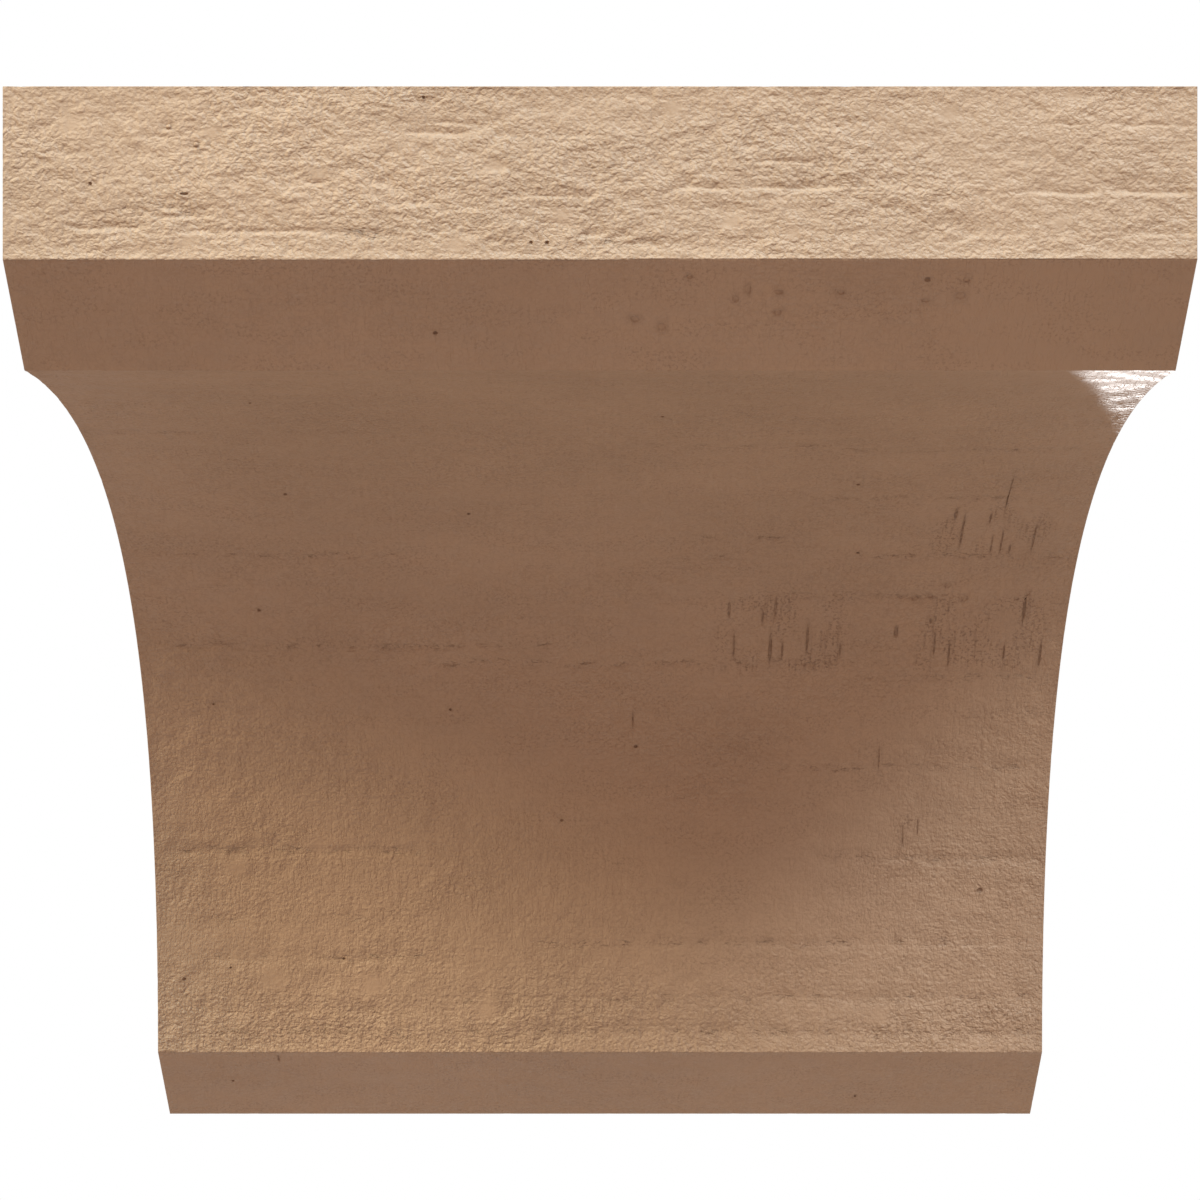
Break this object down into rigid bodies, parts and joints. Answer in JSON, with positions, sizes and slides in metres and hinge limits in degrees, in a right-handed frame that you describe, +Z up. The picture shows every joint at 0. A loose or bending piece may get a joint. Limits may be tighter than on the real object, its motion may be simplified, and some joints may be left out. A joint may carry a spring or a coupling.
{
  "type": "corbel",
  "caption": "Square wall corbel moulded as rough-sawn timber, with an upright front band, sloping strips and a deep concave cove underneath.",
  "frame": {"origin": "centre of the flat back face, where the corbel meets the wall", "axes": "+Z up, +Y into the wall (the front band faces -Y), +X to the right seen from the front"},
  "size_m": [0.3048, 0.3048, 0.3048],
  "materials": {
    "tan_primer": "satin tan factory coat on a rough-sawn moulded surface"
  },
  "bodies": {
    "root": {"corbel": "tan_primer"}
  },
  "joints": []
}
